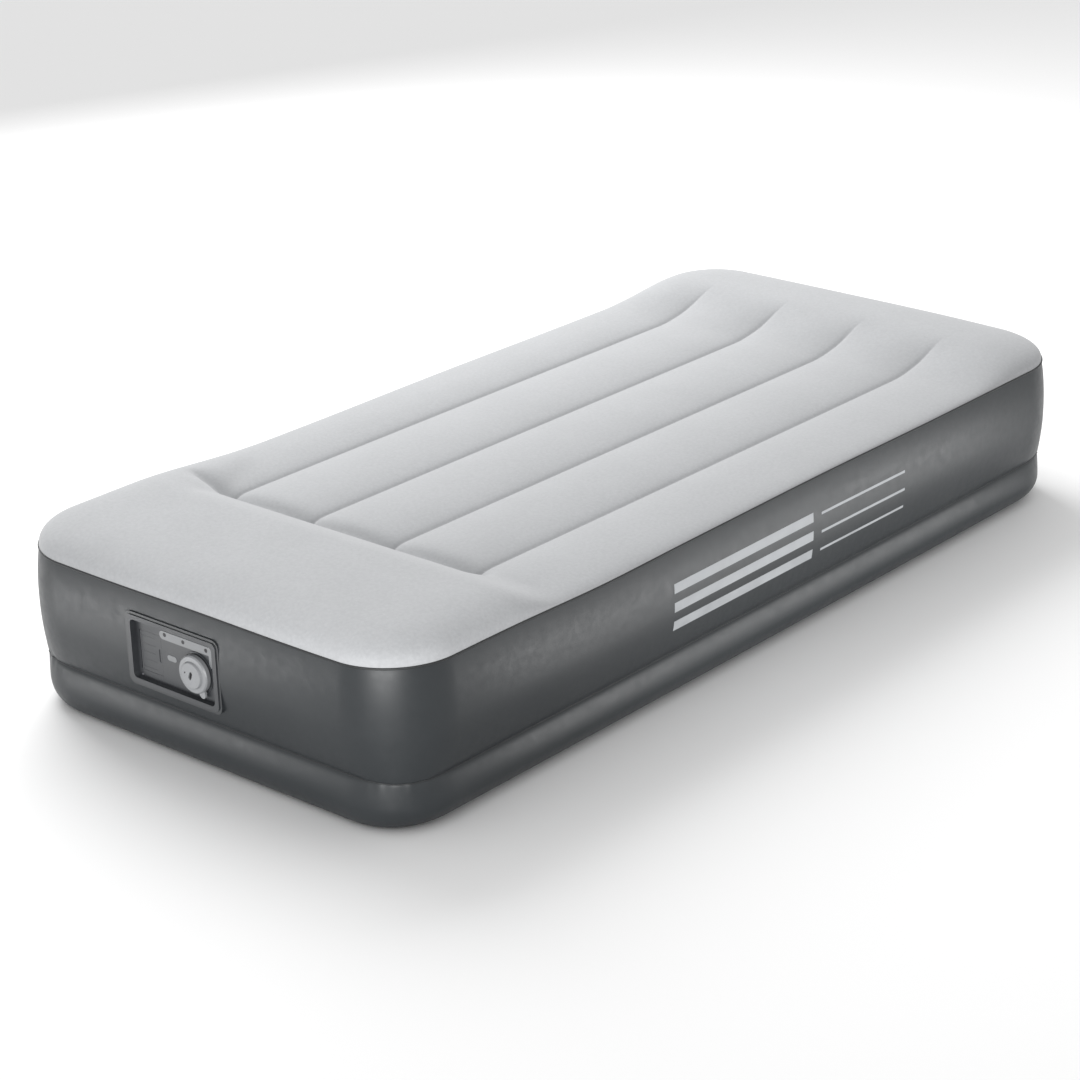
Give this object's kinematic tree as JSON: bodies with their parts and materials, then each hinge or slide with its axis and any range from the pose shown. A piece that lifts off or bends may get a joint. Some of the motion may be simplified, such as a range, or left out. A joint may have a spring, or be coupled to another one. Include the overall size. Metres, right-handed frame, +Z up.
{
  "type": "air mattress",
  "caption": "Raised air mattress with a flocked channelled top, a pillow end, a pinched-waist side wall and a built-in end pump with a turning selector dial and a hinged cord store.",
  "frame": {"origin": "middle of the underside, on the floor that the mattress lies on", "axes": "+Y along the length towards the raised pillow end, so the pump is in the -Y end; +X across the width, to the right of a person who looks at the pump; +Z up"},
  "size_m": [0.94, 1.972, 0.333],
  "materials": {
    "flocked_top": "short light grey flock on laminated PVC, matte with a soft sheen",
    "wall_laminate": "satin dark grey PVC laminate with a fine mesh core showing through",
    "weld_bead": "black high-frequency weld, smooth",
    "web_laminate": "plain grey PVC laminate, satin",
    "panel_plastic": "fine spark-eroded texture, dark grey",
    "dial_plastic": "light grey moulding, satin",
    "dark_inlay": "black inlay, matte",
    "case_plastic": "plain black ABS moulding",
    "seal_rubber": "soft black rubber",
    "nylon": "natural nylon, satin",
    "steel": "zinc-plated steel",
    "copper": "copper and bronze",
    "magnet": "sintered ferrite",
    "lead_insulation": "red wire insulation"
  },
  "bodies": {
    "bed": {"top_sheet": "flocked_top", "side_wall": "wall_laminate", "lower_wall": "wall_laminate", "base_sheet": "wall_laminate", "top_seam": "weld_bead", "waist_seam": "weld_bead", "waist_tie": "web_laminate", "beam_web_1": "web_laminate", "beam_web_2": "web_laminate", "beam_web_3": "web_laminate", "beam_web_4": "web_laminate", "cross_web": "web_laminate", "weld_strips": "web_laminate", "pump_collar": "wall_laminate", "pump_frame": "panel_plastic", "face_panel": "panel_plastic", "icon_strip": "dial_plastic", "position_marks": "dark_inlay", "blank_plate": "dial_plastic", "dial_bezel": "panel_plastic", "panel_screws": "steel", "case_screws": "steel", "pump_case": "case_plastic", "cord_bin": "case_plastic", "cord_gland": "seal_rubber", "door_pin": "steel", "spindle_bush": "nylon", "drum_chamber": "case_plastic", "volute": "case_plastic", "volute_cover": "case_plastic", "motor_can": "steel", "motor_magnets": "magnet", "motor_end_cap": "case_plastic", "motor_bearings": "copper", "brush_holders": "case_plastic", "motor_bracket": "case_plastic", "motor_ring": "seal_rubber", "microswitch": "case_plastic", "motor_leads": "lead_insulation", "valve_duct": "case_plastic", "valve_seat": "seal_rubber", "valve_spring": "steel"},
    "door": {"cord_door": "panel_plastic"},
    "dial": {"dial_knob": "dial_plastic", "dial_insert": "dark_inlay", "dial_spindle": "steel", "spindle_seal": "seal_rubber", "switch_cam": "nylon", "selector_drum": "nylon"},
    "rotor": {"impeller": "nylon", "motor_shaft": "steel", "armature": "copper", "commutator": "copper"},
    "valve": {"valve_flap": "seal_rubber"}
  },
  "joints": [
    {"name": "dial_turn", "type": "hinge", "parent": "bed", "child": "dial", "pos_m": [0.009, -0.9825, 0.179], "axis": [0, -1, 0], "range_deg": [-45, 45]},
    {"name": "door_swing", "type": "hinge", "parent": "bed", "child": "door", "pos_m": [-0.1248, -0.9711, 0.184], "axis": [0, 0, -1], "range_deg": [0, 110]},
    {"name": "rotor_spin", "type": "hinge", "parent": "bed", "child": "rotor", "pos_m": [-0.079, -0.8825, 0.185], "axis": [0, -1, 0], "continuous": true},
    {"name": "valve_travel", "type": "slide", "parent": "bed", "child": "valve", "axis": [0, 1, 0], "range_m": [0, 0.006], "stiffness_N_per_m": 150, "springref_m": -0.004, "deforming": ["valve_spring"]}
  ]
}
